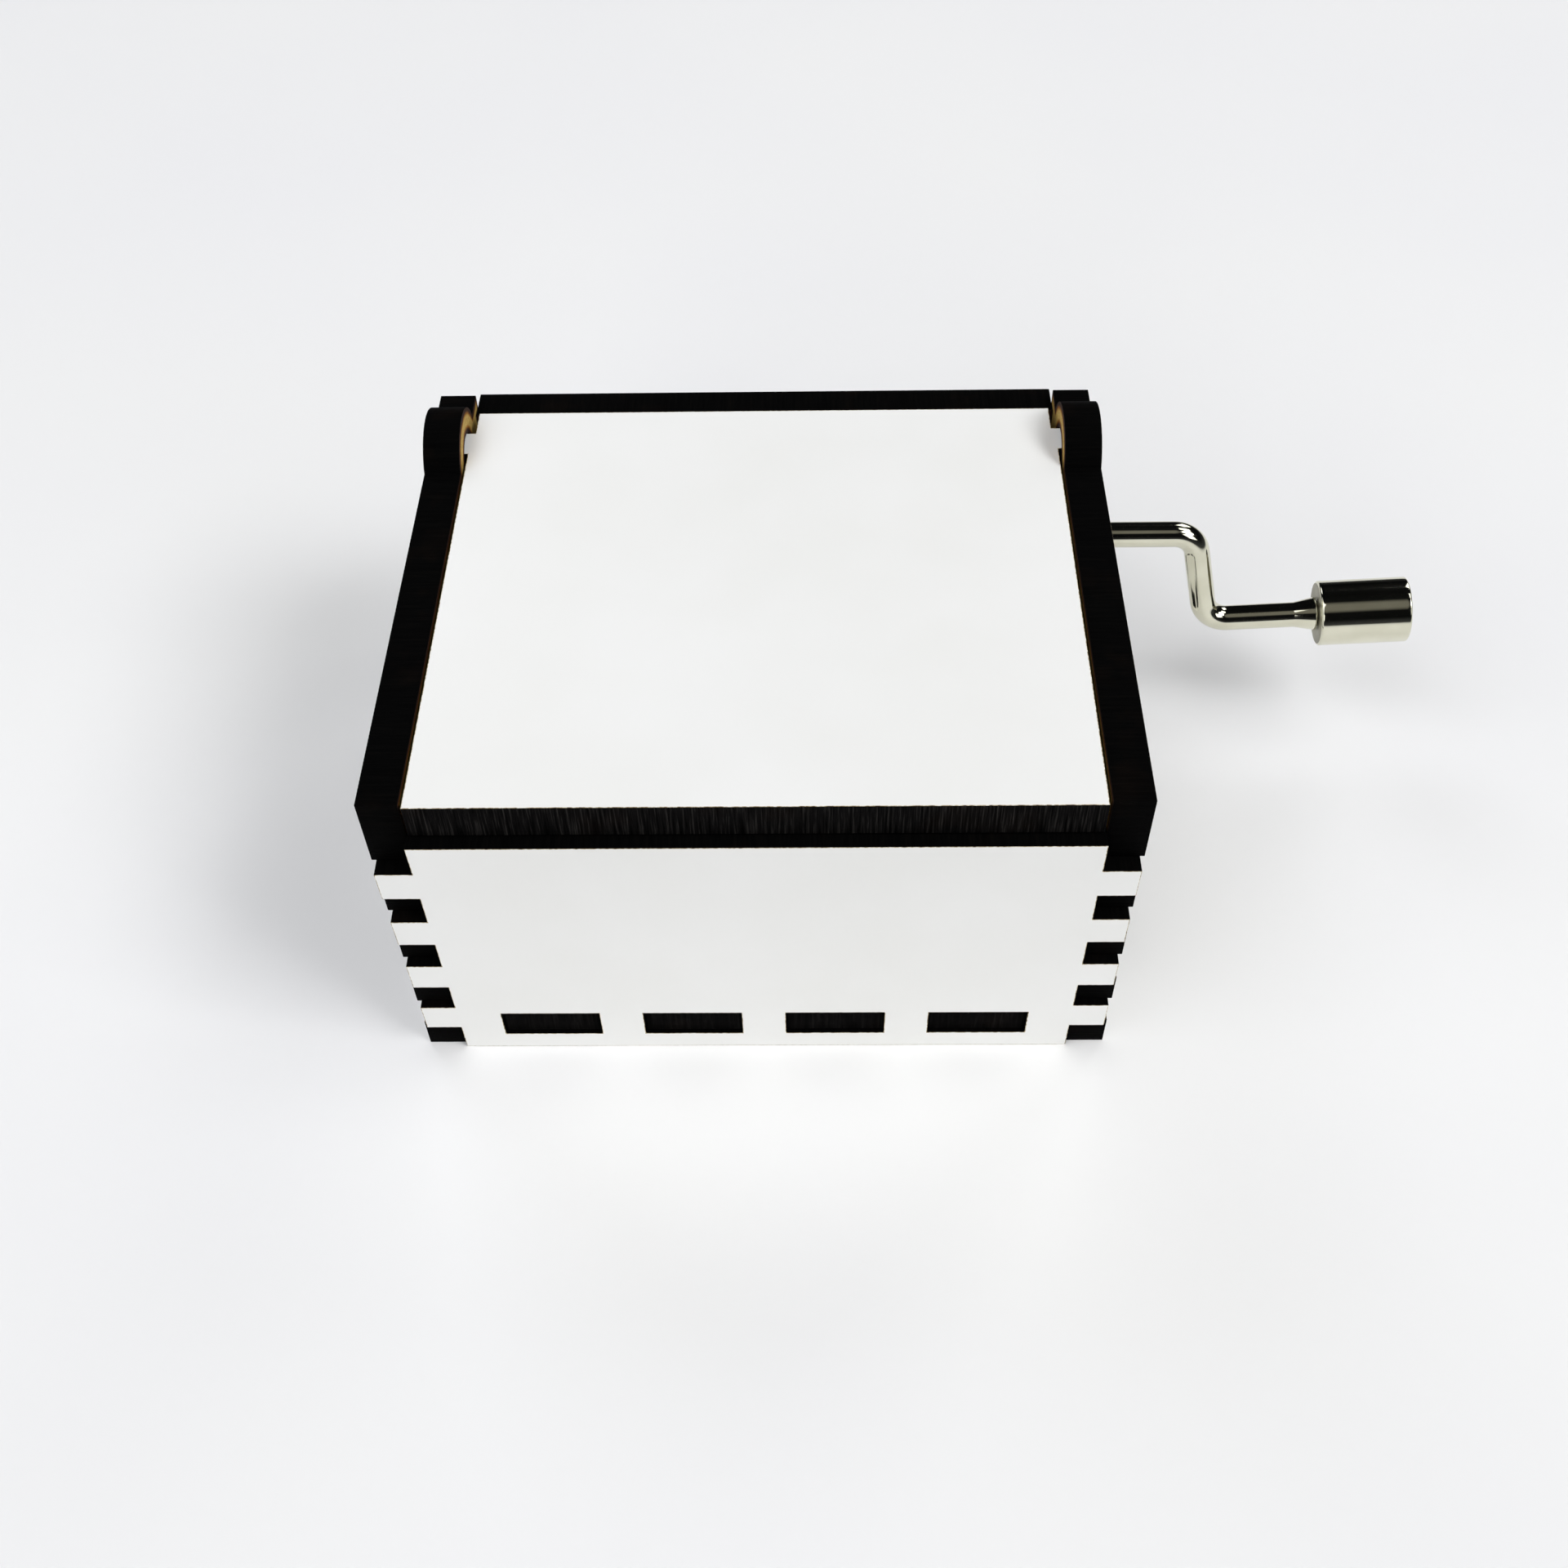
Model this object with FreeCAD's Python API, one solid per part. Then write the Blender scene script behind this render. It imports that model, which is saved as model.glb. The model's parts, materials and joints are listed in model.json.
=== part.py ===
import FreeCAD, Part
import math
import os

# Hand-crank cylinder music box in a finger-jointed case, in millimetres.
# +X points to the crank, +Y to the back, +Z up, and the box stands on Z = 0.
# The pieces are modelled about the middle of the case, and moved together at
# the end so that the origin is under the middle of the whole part.

# Boards and their finger joints
board = 3.5
panel_proud = 0.46
panel_lean_deg = 2.0
finger_rows = 9
finger_recess = 0.37
joint_gap = 0.09
bottom_lift = 2.44
tab_width = 9.0
tab_gap = 4.28
tab_recess = 0.3
tab_edge_land = 3.0
back_drop = 1.0

# Lid and its hinge
lid_side_gap = 0.3
lid_rest_gap = 0.15
lid_front_recess = 1.2
lid_swing_gap = 0.7
lid_tail_inset = 0.4
hinge_inset = 7.5
ear_radius = 4.85
pivot_tab = 3.1
pivot_play = 0.08
pivot_recess = 0.3

# Free room around the movement inside the case
side_room = 7.65
front_room = 14.0
back_room = 0.3
headroom = 5.2

# Crank wire and knob
wire_diameter = 2.6
crank_reach = 11.35
crank_throw = 10.45
crank_droop_deg = 78.0
crank_splay_deg = 12.9
crank_toe_deg = 4.8
crank_skew_deg = 3.0
bend_radius = 2.6
crank_hole_gap = 1.2
socket_depth = 8.0
socket_wall = 0.55
knob_standoff = 11.4
knob_length = 9.0
knob_diameter = 6.7
knob_chamfer = 0.15
collar_length = 2.2
collar_flare = 0.45
rivet_radius = 1.9
rivet_thickness = 0.8
rivet_inset = 0.25
knob_play = 0.06
knob_end_play = 0.15

# Worm and wheel
gear_module = 0.7
wheel_teeth = 16
wheel_face = 3.2
wheel_addendum = 0.55
worm_addendum = 0.6
root_clearance = 0.15
tooth_thinning = 0.12
flank_deg = 20.0
worm_turns = 5
worm_shoulder = 1.5
wheel_hub_radius = 3.0
wheel_hub_tail = 0.35

# Cylinder
notes = 18
note_pitch = 1.05
drum_radius = 6.3
drum_wall = 0.7
drum_margin = 0.8
drum_floor_gap = 1.2
drum_post_gap = 0.5
cap_thickness = 1.4
cap_boss_radius = 2.4
cap_boss_length = 0.8
pin_height = 0.5
pin_radius = 0.26
pin_tip_radius = 0.17
beats = 60
figure_step = 7
figure_drift = 5
tune_sweep_deg = 330.0
arbor_radius = 1.1
arbor_overhang = 0.4
arbor_chamfer = 0.25

# Comb
comb_thickness = 0.8
comb_gap = 0.15
tooth_slit = 0.28
tooth_long = 16.5
tooth_short = 11.0
comb_land = 7.5
seat_setback = 1.1
lead_teeth = 7
lead_length = 2.4
lead_inset = 0.4
lead_deep = 1.7
lead_shallow = 0.7
comb_screw_count = 3

# Base plate, plates and posts
base_thickness = 1.8
base_margin = 0.9
base_corner = 2.0
plate_thickness = 1.6
plate_width = 8.0
plate_wall = 2.2
stake_width = 3.0
stake_gap = 0.05
post_wall = 0.9
shaft_overhang = 2.0
bush_wall = 0.5
bush_flange = 0.6
axial_play = 0.15
run_clearance = 0.05
slip_clearance = 0.03

# Screws
comb_screw_radius = 0.95
comb_screw_head = 1.7
comb_screw_head_height = 1.0
comb_screw_depth = 4.0
base_screw_radius = 1.2
base_screw_head = 2.3
base_screw_head_height = 1.3
base_screw_inset = 3.0
screw_hole_gap = 0.15
screw_slot_width = 0.5
screw_slot_depth = 0.45

# Gear sizes
wire_radius = wire_diameter / 2
tooth_pitch = math.pi * gear_module
wheel_radius = gear_module * wheel_teeth / 2
worm_root = wire_radius + slip_clearance + socket_wall
worm_radius = worm_root + root_clearance + wheel_addendum
worm_tip = worm_radius + worm_addendum
wheel_tip = wheel_radius + wheel_addendum
wheel_root = wheel_radius - worm_addendum - root_clearance
worm_length = worm_turns * tooth_pitch
lead_slope = tooth_pitch / (2 * math.pi * worm_radius)
flank_slope = math.tan(math.radians(flank_deg))

# Posts that carry the worm shaft
bush_bore = worm_root + run_clearance
bush_radius = bush_bore + bush_wall
post_hole = bush_radius + slip_clearance
post_radius = post_hole + post_wall
post_offset = worm_length / 2 + worm_shoulder + axial_play + bush_flange

# Cylinder and comb, along Y from the worm forwards and along X from the drum
rear_plate_offset = wheel_face / 2 + wheel_hub_tail + axial_play
drum_rear_offset = post_radius + drum_post_gap
drum_length = notes * note_pitch + 2 * drum_margin
front_plate_offset = drum_rear_offset + drum_length + cap_boss_length + axial_play
pin_tip = drum_radius + pin_height
comb_tip_offset = pin_tip + comb_gap
comb_depth = tooth_long + comb_land

# Base plate outline
base_length = comb_depth + comb_tip_offset + post_offset + plate_thickness + 2 * base_margin
base_depth = front_plate_offset + rear_plate_offset + 2 * plate_thickness + 2 * base_margin

# Case around the movement
inner_width = base_length + 2 * side_room
case_width = inner_width + 2 * board
inner_depth = front_room + base_depth + back_room
side_depth = inner_depth + 2 * (board - panel_proud)
side_out = case_width / 2
side_in = inner_width / 2
edge_y = side_depth / 2
inner_y = inner_depth / 2
outer_y = inner_y + board
lean = math.radians(panel_lean_deg)
lean_rise = board * math.sin(lean)

# Movement places
base_x1 = base_length / 2
base_x0 = -base_x1
base_y1 = inner_y - back_room
base_y0 = base_y1 - base_depth
cylinder_x = base_x1 - base_margin - plate_thickness - post_offset
crank_y = base_y1 - base_margin - plate_thickness - rear_plate_offset
rear_plate_y = crank_y + rear_plate_offset
front_plate_y = crank_y - front_plate_offset
drum_rear_y = crank_y - drum_rear_offset
drum_front_y = drum_rear_y - drum_length
comb_tip_x = cylinder_x - comb_tip_offset
comb_back_x = comb_tip_x - comb_depth
comb_front_y = drum_front_y + drum_margin
comb_rear_y = drum_rear_y - drum_margin

# Heights
floor_top = bottom_lift + board
base_top = floor_top + base_thickness
arbor_z = base_top + drum_floor_gap + pin_tip
crank_z = arbor_z + wheel_radius + worm_radius
comb_bottom_z = arbor_z - comb_thickness / 2
comb_top_z = comb_bottom_z + comb_thickness
lid_bottom = crank_z + post_radius + headroom
lid_top = lid_bottom + board
front_height = lid_bottom - lid_rest_gap - lean_rise
finger_height = front_height / finger_rows
back_height = lid_top - back_drop - lean_rise

# Hinge
hinge_y = edge_y - hinge_inset
hinge_z = lid_bottom + board / 2
ear_hole = math.hypot(pivot_tab, board) / 2 + pivot_play
back_face_at_hinge = outer_y - board / math.cos(lean) + hinge_z * math.tan(lean)
lid_swing = (back_face_at_hinge - hinge_y) * math.cos(lean) - lid_swing_gap
lid_tail = math.sqrt(lid_swing ** 2 - (board / 2) ** 2)

# Crank
arm_x = side_out + crank_reach
shaft_end_x = cylinder_x + post_offset + plate_thickness + shaft_overhang
droop = math.radians(crank_droop_deg)
splay = math.radians(crank_splay_deg)
toe = math.radians(crank_toe_deg)
skew = math.radians(crank_skew_deg)

AXIS_X = FreeCAD.Vector(1, 0, 0)
AXIS_Y = FreeCAD.Vector(0, 1, 0)
AXIS_Z = FreeCAD.Vector(0, 0, 1)
crank_centre = FreeCAD.Vector(0, crank_y, crank_z)
arm_radial = FreeCAD.Vector(0, -math.cos(droop), -math.sin(droop))
arm_direction = AXIS_X * math.sin(splay) + arm_radial * math.cos(splay)
handle_lean = arm_radial * math.tan(toe) + AXIS_X.cross(arm_radial) * math.tan(skew)
knob_axis = (AXIS_X - handle_lean).normalize()
outer_corner = crank_centre + AXIS_X * arm_x + arm_direction * crank_throw
knob_start = outer_corner + knob_axis * knob_standoff


def box(x0, x1, y0, y1, z0, z1):
    return Part.makeBox(x1 - x0, y1 - y0, z1 - z0, FreeCAD.Vector(x0, y0, z0))


def rod(radius, start, direction, length):
    return Part.makeCylinder(radius, length, start, direction)


def turned(profile, start, direction):
    """Solid of revolution from (distance along the axis, radius) pairs."""
    points = [FreeCAD.Vector(radius, 0, along) for along, radius in profile]
    outline = Part.makePolygon(points + points[:1])
    solid = Part.Face(outline).revolve(FreeCAD.Vector(), AXIS_Z, 360)
    solid.Placement = FreeCAD.Placement(start, FreeCAD.Rotation(AXIS_Z, direction))
    return solid


def screw(head_radius, head_height, shank_radius, length, start, direction):
    """Slotted screw: start is the top of its head, direction points to its tip."""
    profile = [
        (0, 0),
        (0, head_radius),
        (head_height, head_radius),
        (head_height, shank_radius),
        (head_height + length, shank_radius),
        (head_height + length, 0),
    ]
    slot = box(
        start.x - head_radius, start.x + head_radius,
        start.y - screw_slot_width / 2, start.y + screw_slot_width / 2,
        start.z - screw_slot_depth, start.z + screw_slot_depth,
    )
    return turned(profile, start, direction).cut(slot)


def finger_levels():
    """Bottom and top of each finger that a front or back panel puts through a side."""
    rows = range(1, finger_rows - 1, 2)
    return [(row * finger_height, (row + 1) * finger_height) for row in rows]


def tab_centres(span):
    """Centres of the bottom panel's tabs along an edge of this length."""
    pitch = tab_width + tab_gap
    count = int((span - 2 * tab_edge_land + tab_gap) / pitch)
    return [(index - (count - 1) / 2) * pitch for index in range(count)]


def lean_out(shape, end):
    """Tips the top of a front (end -1) or back (end +1) piece outwards about its foot."""
    shape.rotate(FreeCAD.Vector(0, end * outer_y, 0), AXIS_X, -end * panel_lean_deg)
    return shape


def base_screw_places():
    return [
        (base_x0 + base_screw_inset, base_y0 + base_screw_inset),
        (base_x0 + base_screw_inset, base_y1 - base_screw_inset),
        (base_x1 - base_screw_inset, base_y0 + base_screw_inset),
    ]


def comb_screw_places():
    spacing = (comb_rear_y - comb_front_y) / comb_screw_count
    x = comb_back_x + (comb_land - seat_setback) / 2
    return [(x, comb_front_y + (index + 0.5) * spacing) for index in range(comb_screw_count)]


def plate_stakes():
    """Feet of the plates and posts that are staked into the base: x0, x1, y0, y1."""
    half = stake_width / 2
    stakes = {}
    for name, y in (("front", front_plate_y - plate_thickness), ("rear", rear_plate_y)):
        stakes[name] = (cylinder_x - half, cylinder_x + half, y, y + plate_thickness)
    left = cylinder_x - post_offset - plate_thickness
    right = cylinder_x + post_offset
    for name, x in (("left", left), ("right", right)):
        stakes[name] = (x, x + plate_thickness, crank_y - half, crank_y + half)
    return stakes


def side_panel(side):
    """Side panel with a hinge ear; side is -1 for the left and +1 for the right."""
    x0 = min(side * side_in, side * side_out)
    x1 = x0 + board
    panel = box(x0, x1, -edge_y, edge_y, 0, lid_top)
    hinge = FreeCAD.Vector(x0, hinge_y, hinge_z)
    panel = panel.fuse(rod(ear_radius, hinge, AXIS_X, board))
    cuts = [rod(ear_hole, hinge, AXIS_X, board)]
    for low, high in finger_levels():
        for end in (-1, 1):
            near = end * (inner_y - joint_gap)
            far = end * outer_y
            notch = box(x0, x1, min(near, far), max(near, far), low - joint_gap, high + joint_gap)
            cuts.append(lean_out(notch, end))
    half = tab_width / 2 + joint_gap
    for y in tab_centres(inner_depth):
        cuts.append(box(x0, x1, y - half, y + half, bottom_lift - joint_gap, floor_top + joint_gap))
    if side > 0:
        hole = FreeCAD.Vector(x0, crank_y, crank_z)
        cuts.append(rod(wire_radius + crank_hole_gap, hole, AXIS_X, board))
    return panel.cut(cuts).removeSplitter()


def end_panel(end, height):
    """Front (end -1) or back (end +1) panel with its fingers and its tab slots."""
    y0 = min(end * inner_y, end * outer_y)
    y1 = y0 + board
    half = side_in - joint_gap
    reach = side_out - finger_recess
    panel = box(-half, half, y0, y1, 0, height)
    fingers = [box(-reach, reach, y0, y1, low, high) for low, high in finger_levels()]
    panel = lean_out(panel.fuse(fingers), end)
    slot_half = tab_width / 2 + joint_gap
    slots = []
    for x in tab_centres(inner_width):
        slot = box(
            x - slot_half, x + slot_half, y0 - board, y1 + board,
            bottom_lift - joint_gap, floor_top + joint_gap,
        )
        slots.append(slot)
    return panel.cut(slots).removeSplitter()


def bottom_panel():
    half_x = side_in - joint_gap
    half_y = inner_y - joint_gap
    panel = box(-half_x, half_x, -half_y, half_y, bottom_lift, floor_top)
    half_tab = tab_width / 2
    reach_y = outer_y - tab_recess
    reach_x = side_out - tab_recess
    tabs = []
    for x in tab_centres(inner_width):
        tabs.append(box(x - half_tab, x + half_tab, -reach_y, reach_y, bottom_lift, floor_top))
    for y in tab_centres(inner_depth):
        tabs.append(box(-reach_x, reach_x, y - half_tab, y + half_tab, bottom_lift, floor_top))
    hole = base_screw_radius + screw_hole_gap
    holes = []
    for x, y in base_screw_places():
        holes.append(rod(hole, FreeCAD.Vector(x, y, bottom_lift), AXIS_Z, board))
    return panel.fuse(tabs).cut(holes).removeSplitter()


def lid():
    """Sheet with a pivot tab at each side, a little narrower behind the tabs."""
    half = side_in - lid_side_gap
    tail_half = half - lid_tail_inset
    tail_start = hinge_y + pivot_tab / 2
    front = lid_front_recess - outer_y - front_height * math.sin(lean)
    sheet = box(-half, half, front, tail_start, lid_bottom, lid_top)
    tail = box(-tail_half, tail_half, tail_start, hinge_y + lid_tail, lid_bottom, lid_top)
    reach = side_out - pivot_recess
    pivots = box(
        -reach, reach, hinge_y - pivot_tab / 2, tail_start, lid_bottom, lid_top
    )
    return sheet.fuse([tail, pivots]).removeSplitter()


def movement_base():
    """Cast plate with a raised seat under the comb."""
    plate = box(base_x0, base_x1, base_y0, base_y1, floor_top, base_top)
    upright = [edge for edge in plate.Edges if abs(edge.tangentAt(edge.FirstParameter).z) > 0.9]
    plate = plate.makeFillet(base_corner, upright)
    seat_x1 = comb_back_x + comb_land - seat_setback
    seat = box(comb_back_x, seat_x1, comb_front_y, comb_rear_y, base_top, comb_bottom_z)
    cuts = []
    for x0, x1, y0, y1 in plate_stakes().values():
        gap = stake_gap
        cuts.append(box(x0 - gap, x1 + gap, y0 - gap, y1 + gap, floor_top, base_top))
    for x, y in base_screw_places():
        centre = FreeCAD.Vector(x, y, floor_top)
        cuts.append(rod(base_screw_radius + slip_clearance, centre, AXIS_Z, base_thickness))
    for x, y in comb_screw_places():
        depth = comb_screw_depth + slip_clearance
        centre = FreeCAD.Vector(x, y, comb_bottom_z - depth)
        cuts.append(rod(comb_screw_radius + slip_clearance, centre, AXIS_Z, depth))
    return plate.fuse(seat).cut(cuts).removeSplitter()


def base_screws():
    solids = []
    for x, y in base_screw_places():
        start = FreeCAD.Vector(x, y, bottom_lift - base_screw_head_height)
        length = board + base_thickness
        solids.append(
            screw(base_screw_head, base_screw_head_height, base_screw_radius, length, start, AXIS_Z)
        )
    return Part.makeCompound(solids)


def tooth_length(index):
    return tooth_long + (tooth_short - tooth_long) * index / (notes - 1)


def comb():
    """Steel plate slit into teeth that shorten from the low notes to the high ones."""
    plate = box(comb_back_x, comb_tip_x, comb_front_y, comb_rear_y, comb_bottom_z, comb_top_z)
    cuts = []
    for index in range(1, notes):
        y = comb_front_y + index * note_pitch
        root = comb_tip_x - (tooth_length(index - 1) + tooth_length(index)) / 2
        half = tooth_slit / 2
        cuts.append(box(root, comb_tip_x, y - half, y + half, comb_bottom_z, comb_top_z))
    for x, y in comb_screw_places():
        centre = FreeCAD.Vector(x, y, comb_bottom_z)
        cuts.append(rod(comb_screw_radius + screw_hole_gap, centre, AXIS_Z, comb_thickness))
    return plate.cut(cuts)


def comb_leads():
    """Weights under the tips of the low teeth, smaller towards the high notes."""
    solids = []
    half = (note_pitch - tooth_slit) / 2
    x1 = comb_tip_x - lead_inset
    for index in range(lead_teeth):
        y = comb_front_y + (index + 0.5) * note_pitch
        depth = lead_deep + (lead_shallow - lead_deep) * index / (lead_teeth - 1)
        solids.append(
            box(x1 - lead_length, x1, y - half, y + half, comb_bottom_z - depth, comb_bottom_z)
        )
    return Part.makeCompound(solids)


def comb_screws():
    solids = []
    for x, y in comb_screw_places():
        start = FreeCAD.Vector(x, y, comb_top_z + comb_screw_head_height)
        length = comb_thickness + comb_screw_depth
        solids.append(
            screw(comb_screw_head, comb_screw_head_height, comb_screw_radius, length, start, AXIS_Z * -1)
        )
    return Part.makeCompound(solids)


def drum_pin(beat):
    """One pin of the tune: its angle is the beat, its track a simple running figure."""
    track = (figure_step * beat + beat * beat // figure_drift) % notes
    angle = math.radians(tune_sweep_deg * beat / beats)
    outward = FreeCAD.Vector(math.cos(angle), 0, math.sin(angle))
    root = drum_radius - drum_wall / 2
    y = comb_front_y + (track + 0.5) * note_pitch
    start = FreeCAD.Vector(cylinder_x, y, arbor_z) + outward * root
    return Part.makeCone(pin_radius, pin_tip_radius, pin_tip - root, start, outward)


def cylinder_drum():
    front = FreeCAD.Vector(cylinder_x, drum_front_y, arbor_z)
    shell = rod(drum_radius, front, AXIS_Y, drum_length)
    bore = rod(drum_radius - drum_wall, front, AXIS_Y, drum_length)
    pins = [drum_pin(beat) for beat in range(beats)]
    return shell.fuse(pins).cut(bore)


def drum_cap(face_y, outward, boss_length):
    """Cap pressed into one end of the drum, flush with it, with a boss on its outer side."""
    radius = drum_radius - drum_wall - slip_clearance
    bore = arbor_radius + slip_clearance
    profile = [
        (-cap_thickness, bore),
        (-cap_thickness, radius),
        (0, radius),
        (0, cap_boss_radius),
        (boss_length, cap_boss_radius),
        (boss_length, bore),
    ]
    return turned(profile, FreeCAD.Vector(cylinder_x, face_y, arbor_z), AXIS_Y * outward)


def cylinder_arbor():
    start = front_plate_y - plate_thickness - arbor_overhang
    length = rear_plate_y + plate_thickness + arbor_overhang - start
    profile = [
        (0, 0),
        (0, arbor_radius - arbor_chamfer),
        (arbor_chamfer, arbor_radius),
        (length - arbor_chamfer, arbor_radius),
        (length, arbor_radius - arbor_chamfer),
        (length, 0),
    ]
    return turned(profile, FreeCAD.Vector(cylinder_x, start, arbor_z), AXIS_Y)


def wheel_outline(y, twist):
    """Toothed outline of the worm wheel at one depth, turned by twist about the arbor."""
    half_pitch = tooth_pitch / 4 - tooth_thinning
    half_root = half_pitch + (wheel_radius - wheel_root) * flank_slope
    half_tip = half_pitch - wheel_addendum * flank_slope
    points = []
    for tooth in range(wheel_teeth):
        middle = math.pi / 2 - twist + 2 * math.pi * tooth / wheel_teeth
        for radius, half in (
            (wheel_root, -half_root), (wheel_tip, -half_tip), (wheel_tip, half_tip), (wheel_root, half_root),
        ):
            angle = middle + half / radius
            x = cylinder_x + radius * math.cos(angle)
            points.append(FreeCAD.Vector(x, y, arbor_z + radius * math.sin(angle)))
    return Part.makePolygon(points + points[:1])


def worm_wheel():
    """Helical wheel whose teeth follow the worm's lead, with a hub that reaches the drum."""
    half = wheel_face / 2
    twist = half * lead_slope / wheel_radius
    outlines = [wheel_outline(crank_y - half, -twist), wheel_outline(crank_y + half, twist)]
    rim = Part.makeLoft(outlines, True, True)
    hub_start = FreeCAD.Vector(cylinder_x, drum_rear_y, arbor_z)
    hub_length = drum_rear_offset + half + wheel_hub_tail
    hub = rod(wheel_hub_radius, hub_start, AXIS_Y, hub_length)
    bore = rod(arbor_radius + slip_clearance, hub_start, AXIS_Y, hub_length)
    return rim.fuse(hub).cut(bore).removeSplitter()


def bearing_plate(stake):
    """Upright plate with a rounded top that carries one end of the arbor."""
    x0, x1, y0, y1 = stake
    top = arbor_radius + run_clearance + plate_wall
    half = plate_width / 2
    centre = FreeCAD.Vector(cylinder_x, y0, arbor_z)
    plate = box(cylinder_x - half, cylinder_x + half, y0, y1, base_top, arbor_z)
    crown = rod(half, centre, AXIS_Y, plate_thickness)
    trim = box(cylinder_x - half, cylinder_x + half, y0, y1, arbor_z, arbor_z + top)
    foot = box(x0, x1, y0, y1, floor_top + stake_gap, base_top)
    hole = rod(arbor_radius + run_clearance, centre, AXIS_Y, plate_thickness)
    return plate.fuse([crown.common(trim), foot]).cut(hole).removeSplitter()


def worm_post(stake):
    """Upright post with a round top that holds one bush of the worm shaft."""
    x0, x1, y0, y1 = stake
    centre = FreeCAD.Vector(x0, crank_y, crank_z)
    post = box(x0, x1, crank_y - post_radius, crank_y + post_radius, base_top, crank_z)
    crown = rod(post_radius, centre, AXIS_X, plate_thickness)
    foot = box(x0, x1, y0, y1, floor_top + stake_gap, base_top)
    hole = rod(post_hole, centre, AXIS_X, plate_thickness)
    return post.fuse([crown, foot]).cut(hole).removeSplitter()


def worm_bush(side):
    """Flanged brass bush; its flange lies between the post and the worm's shoulder."""
    flange_radius = bush_radius + bush_flange
    profile = [
        (-bush_flange, bush_bore),
        (-bush_flange, flange_radius),
        (0, flange_radius),
        (0, bush_radius),
        (plate_thickness, bush_radius),
        (plate_thickness, bush_bore),
    ]
    start = FreeCAD.Vector(cylinder_x + side * post_offset, crank_y, crank_z)
    return turned(profile, start, AXIS_X * side)


def worm_thread():
    """One right-hand thread, with a gap between its turns over the middle of the wheel."""
    half_pitch = tooth_pitch / 4 - tooth_thinning
    sunk = worm_root - socket_wall / 2
    half_root = half_pitch + (worm_radius - sunk) * flank_slope
    half_tip = half_pitch - worm_addendum * flank_slope
    corners = [(sunk, -half_root), (worm_tip, -half_tip), (worm_tip, half_tip), (sunk, half_root)]
    points = [FreeCAD.Vector(radius, 0, along) for radius, along in corners]
    section = Part.makePolygon(points + points[:1])
    helix = Part.makeHelix(tooth_pitch, worm_length, worm_radius)
    thread = Part.Wire(helix.Edges).makePipeShell([section], True, True)
    start = FreeCAD.Vector(cylinder_x - worm_length / 2, crank_y, crank_z)
    thread.Placement = FreeCAD.Placement(start, FreeCAD.Rotation(AXIS_Y, 90))
    return thread


def worm_shaft():
    """Worm with a shoulder and a journal at each end, and a socket for the crank wire."""
    shoulder = worm_length / 2 + worm_shoulder
    end = shaft_end_x - cylinder_x
    profile = [
        (-end, 0),
        (-end, worm_root),
        (-shoulder, worm_root),
        (-shoulder, worm_radius),
        (-shoulder + worm_shoulder / 2, worm_radius),
        (-shoulder + worm_shoulder / 2, worm_root),
        (shoulder - worm_shoulder / 2, worm_root),
        (shoulder - worm_shoulder / 2, worm_radius),
        (shoulder, worm_radius),
        (shoulder, worm_root),
        (end, worm_root),
        (end, 0),
    ]
    core = turned(profile, FreeCAD.Vector(cylinder_x, crank_y, crank_z), AXIS_X)
    mouth = FreeCAD.Vector(shaft_end_x, crank_y, crank_z)
    socket = rod(wire_radius + slip_clearance, mouth, AXIS_X * -1, socket_depth + slip_clearance)
    return core.fuse(worm_thread()).cut(socket)


def crank_path():
    """Centre line of the bent wire: straight run, splayed arm and outer run."""
    start = crank_centre + AXIS_X * (shaft_end_x - socket_depth)
    corner = crank_centre + AXIS_X * arm_x
    finish = knob_start + knob_axis * (knob_length - rivet_inset - rivet_thickness)
    stops = [start, corner, outer_corner, finish]
    edges = []
    at = start
    for before, here, after in zip(stops, stops[1:], stops[2:]):
        arriving = (here - before).normalize()
        leaving = (after - here).normalize()
        turn = arriving.getAngle(leaving)
        setback = bend_radius * math.tan(turn / 2)
        bend_in = here - arriving * setback
        bend_out = here + leaving * setback
        inward = (leaving - arriving).normalize()
        middle = here + inward * (bend_radius / math.cos(turn / 2) - bend_radius)
        edges.append(Part.LineSegment(at, bend_in).toShape())
        edges.append(Part.Arc(bend_in, middle, bend_out).toShape())
        at = bend_out
    edges.append(Part.LineSegment(at, finish).toShape())
    return Part.Wire(edges)


def crank_wire():
    """Bent wire with a flared collar before the knob and a riveted head inside its end."""
    path = crank_path()
    start = path.Vertexes[0].Point
    section = Part.Wire([Part.Circle(start, AXIS_X, wire_radius).toShape()])
    wire = path.makePipeShell([section], True, False)
    flare = knob_start - knob_axis * (collar_length + knob_end_play)
    collar = Part.makeCone(wire_radius, wire_radius + collar_flare, collar_length, flare, knob_axis)
    rivet_start = knob_start + knob_axis * (knob_length - rivet_inset - rivet_thickness)
    rivet = rod(rivet_radius, rivet_start, knob_axis, rivet_thickness)
    return wire.fuse([collar, rivet]).removeSplitter()


def crank_knob():
    """Turned sleeve that spins between the collar and the riveted head."""
    bore = wire_radius + knob_play
    recess = rivet_radius + knob_play
    seat = knob_length - rivet_inset - rivet_thickness - knob_end_play
    radius = knob_diameter / 2
    profile = [
        (0, bore),
        (0, radius - knob_chamfer),
        (knob_chamfer, radius),
        (knob_length - knob_chamfer, radius),
        (knob_length, radius - knob_chamfer),
        (knob_length, recess),
        (seat, recess),
        (seat, bore),
    ]
    return turned(profile, knob_start, knob_axis)


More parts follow.
